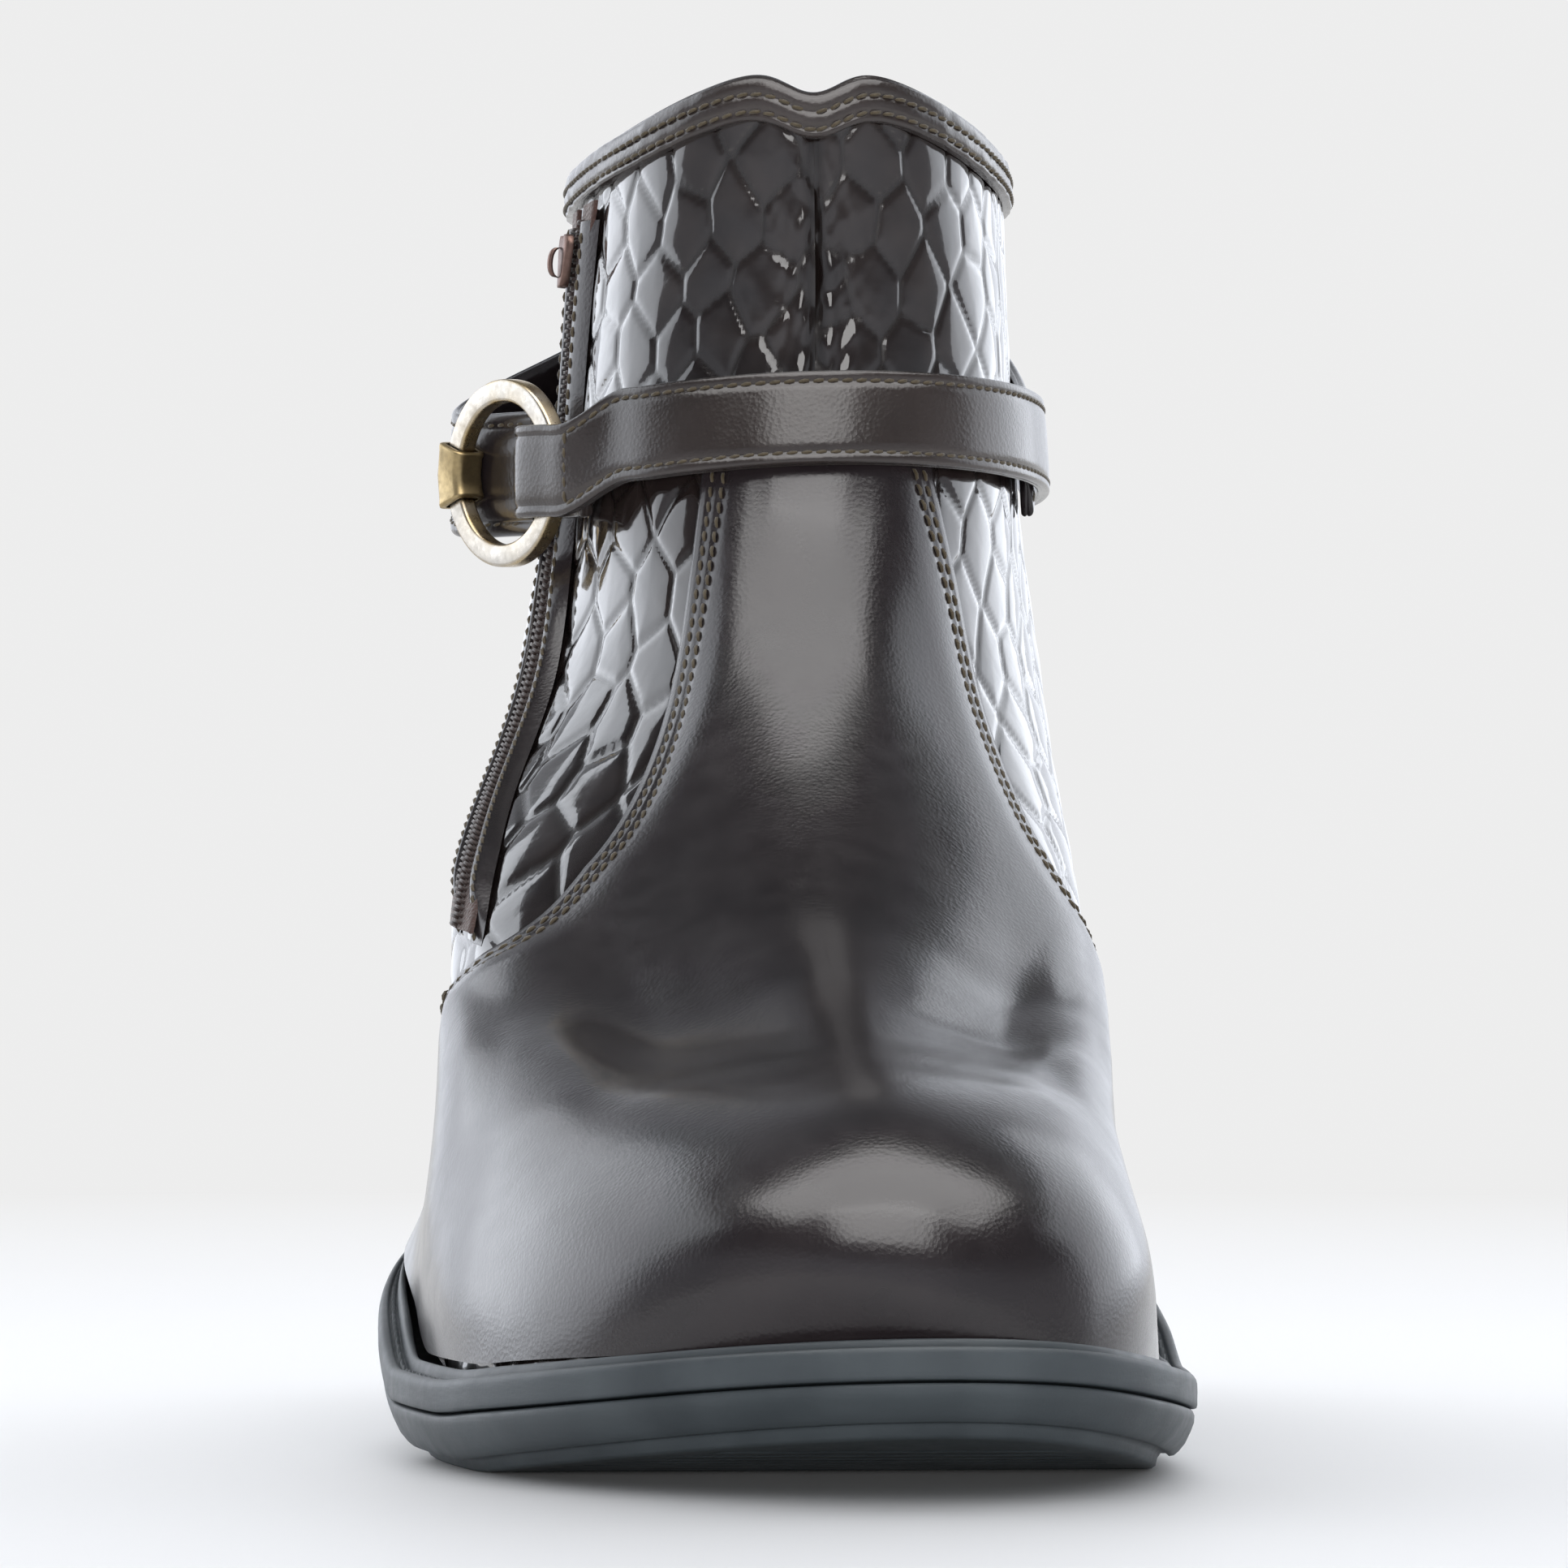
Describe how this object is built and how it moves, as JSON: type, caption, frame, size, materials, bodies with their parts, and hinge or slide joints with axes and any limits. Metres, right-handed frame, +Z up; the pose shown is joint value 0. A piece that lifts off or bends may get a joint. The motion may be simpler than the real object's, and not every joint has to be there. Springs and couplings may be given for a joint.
{
  "type": "ankle boot",
  "caption": "Dark brown leather ankle boot, right foot: embossed patent shaft, smooth vamp, side zip, strap with a flat metal ring, welted rubber sole with a low block heel.",
  "frame": {"origin": "On the floor under the middle of the outsole's box", "axes": "+Z up, the toe points to -Y, the outer side of the foot to -X and the inner side to +X"},
  "size_m": [0.0979, 0.272, 0.1747],
  "materials": {
    "sole_rubber": "matte slate-grey moulded rubber",
    "heel_rubber": "matte dark rubber",
    "insole_leather": "unpolished tan leather",
    "patent_leather": "high gloss, embossed in elongated scales",
    "calf_leather": "semi-gloss, fine grain",
    "trim_leather": "satin, fine grain, stitched",
    "zip_fabric": "woven tape",
    "zip_plastic": "moulded coil",
    "nickel": "polished nickel",
    "brass": "worn brass"
  },
  "bodies": {
    "root": {"outsole": "sole_rubber", "welt": "sole_rubber", "heel": "heel_rubber", "heel_tip": "sole_rubber", "insole": "insole_leather", "upper": "patent_leather", "vamp": "calf_leather", "collar_binding": "trim_leather", "zip_tape": "zip_fabric", "zip_coil": "zip_plastic", "zip_slider": "brass", "front_strap": "trim_leather", "rear_strap": "calf_leather", "ring": "nickel", "ring_clip": "brass"}
  },
  "joints": []
}
